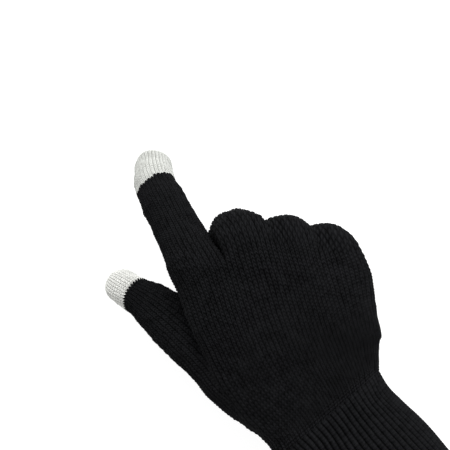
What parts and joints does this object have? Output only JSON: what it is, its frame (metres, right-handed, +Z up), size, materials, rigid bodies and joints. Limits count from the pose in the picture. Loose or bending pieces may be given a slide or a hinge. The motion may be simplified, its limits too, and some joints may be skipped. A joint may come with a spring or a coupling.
{
  "type": "touchscreen glove",
  "caption": "right-hand knitted glove with pale conductive index and thumb tips, worn in a pointing pose with the other fingers curled, over a ribbed cuff",
  "frame": {"origin": "centre of the footprint on the surface that the glove lies on", "axes": "+Y runs from the cuff to the fingers, +X towards the little finger, +Z up out of the back of the hand"},
  "size_m": [0.1423, 0.2378, 0.0707],
  "materials": {
    "black_knit": "fine matte knit",
    "cuff_rib_knit": "ribbed knit",
    "cuff_binding": "overlocked yarn",
    "elastic": "covered elastic yarn",
    "index_conductive_knit": "pale silvery knit",
    "thumb_conductive_knit": "pale silvery knit"
  },
  "bodies": {
    "palm": {"palm_body": "black_knit", "thumb_base": "black_knit", "cuff_ribbing": "cuff_rib_knit", "cuff_elastic": "elastic", "cuff_edge_binding": "cuff_binding"},
    "index_proximal": {"index_proximal_sleeve": "black_knit"},
    "index_middle": {"index_middle_sleeve": "black_knit"},
    "index_distal": {"index_touch_tip": "index_conductive_knit"},
    "middle_proximal": {"middle_proximal_sleeve": "black_knit"},
    "middle_middle": {"middle_middle_sleeve": "black_knit"},
    "middle_distal": {"middle_distal_sleeve": "black_knit"},
    "ring_proximal": {"ring_proximal_sleeve": "black_knit"},
    "ring_middle": {"ring_middle_sleeve": "black_knit"},
    "ring_distal": {"ring_distal_sleeve": "black_knit"},
    "little_proximal": {"little_proximal_sleeve": "black_knit"},
    "little_middle": {"little_middle_sleeve": "black_knit"},
    "little_distal": {"little_distal_sleeve": "black_knit"},
    "thumb_proximal": {"thumb_proximal_sleeve": "black_knit"},
    "thumb_distal": {"thumb_distal_sleeve": "black_knit", "thumb_touch_tip": "thumb_conductive_knit"}
  },
  "joints": [
    {"name": "index_knuckle", "type": "hinge", "parent": "palm", "child": "index_proximal", "pos_m": [-0.0222, 0.03098, 0.05344], "axis": [-0.9863, -0.1594, -0.0427], "range_deg": [-42, 43]},
    {"name": "index_middle_joint", "type": "hinge", "parent": "index_proximal", "child": "index_middle", "pos_m": [-0.0285, 0.07351, 0.04015], "axis": [-0.9863, -0.1594, -0.0427], "range_deg": [-12, 63]},
    {"name": "index_end_joint", "type": "hinge", "parent": "index_middle", "child": "index_distal", "pos_m": [-0.03147, 0.09513, 0.02797], "axis": [-0.9863, -0.1594, -0.0427], "range_deg": [-6, 31.5]},
    {"name": "middle_knuckle", "type": "hinge", "parent": "palm", "child": "middle_proximal", "pos_m": [0.0045, 0.036, 0.05789], "axis": [-1, 0, 0], "range_deg": [-84, 5]},
    {"name": "middle_middle_joint", "type": "hinge", "parent": "middle_proximal", "child": "middle_middle", "pos_m": [0.0045, 0.05969, 0.01846], "axis": [-1, 0, 0], "range_deg": [-104, 3]},
    {"name": "middle_end_joint", "type": "hinge", "parent": "middle_middle", "child": "middle_distal", "pos_m": [0.0045, 0.03196, 0.00998], "axis": [-1, 0, 0], "range_deg": [-34, 0.98]},
    {"name": "ring_knuckle", "type": "hinge", "parent": "palm", "child": "ring_proximal", "pos_m": [0.0245, 0.02879, 0.05389], "axis": [-0.9986, 0.0506, 0.0135], "range_deg": [-86, 5]},
    {"name": "ring_middle_joint", "type": "hinge", "parent": "ring_proximal", "child": "ring_middle", "pos_m": [0.02503, 0.04914, 0.01715], "axis": [-0.9986, 0.0506, 0.0135], "range_deg": [-102, 3]},
    {"name": "ring_end_joint", "type": "hinge", "parent": "ring_middle", "child": "ring_distal", "pos_m": [0.02362, 0.02335, 0.00927], "axis": [-0.9986, 0.0506, 0.0135], "range_deg": [-33, 0.97]},
    {"name": "little_knuckle", "type": "hinge", "parent": "palm", "child": "little_proximal", "pos_m": [0.0427, 0.02261, 0.04602], "axis": [-0.9925, 0.1177, 0.0315], "range_deg": [-86, 5]},
    {"name": "little_middle_joint", "type": "hinge", "parent": "little_proximal", "child": "little_middle", "pos_m": [0.04373, 0.03952, 0.0154], "axis": [-0.9925, 0.1177, 0.0315], "range_deg": [-100, 3]},
    {"name": "little_end_joint", "type": "hinge", "parent": "little_middle", "child": "little_distal", "pos_m": [0.04118, 0.01981, 0.0086], "axis": [-0.9925, 0.1177, 0.0315], "range_deg": [-31, 0.93]},
    {"name": "thumb_middle_joint", "type": "hinge", "parent": "palm", "child": "thumb_proximal", "pos_m": [-0.0385, 0.01427, 0.02308], "axis": [-0.2953, 0.1857, 0.9372], "range_deg": [-20, 10]},
    {"name": "thumb_end_joint", "type": "hinge", "parent": "thumb_proximal", "child": "thumb_distal", "pos_m": [-0.049, 0.0316, 0.01634], "axis": [-0.288, 0.0782, 0.9544], "range_deg": [-40, 12]}
  ],
  "couplings": [
    {"joint": "index_end_joint", "follows": "index_middle_joint", "ratio": 0.5},
    {"joint": "middle_end_joint", "follows": "middle_middle_joint", "ratio": 0.32692},
    {"joint": "ring_end_joint", "follows": "ring_middle_joint", "ratio": 0.32353},
    {"joint": "little_end_joint", "follows": "little_middle_joint", "ratio": 0.31}
  ]
}
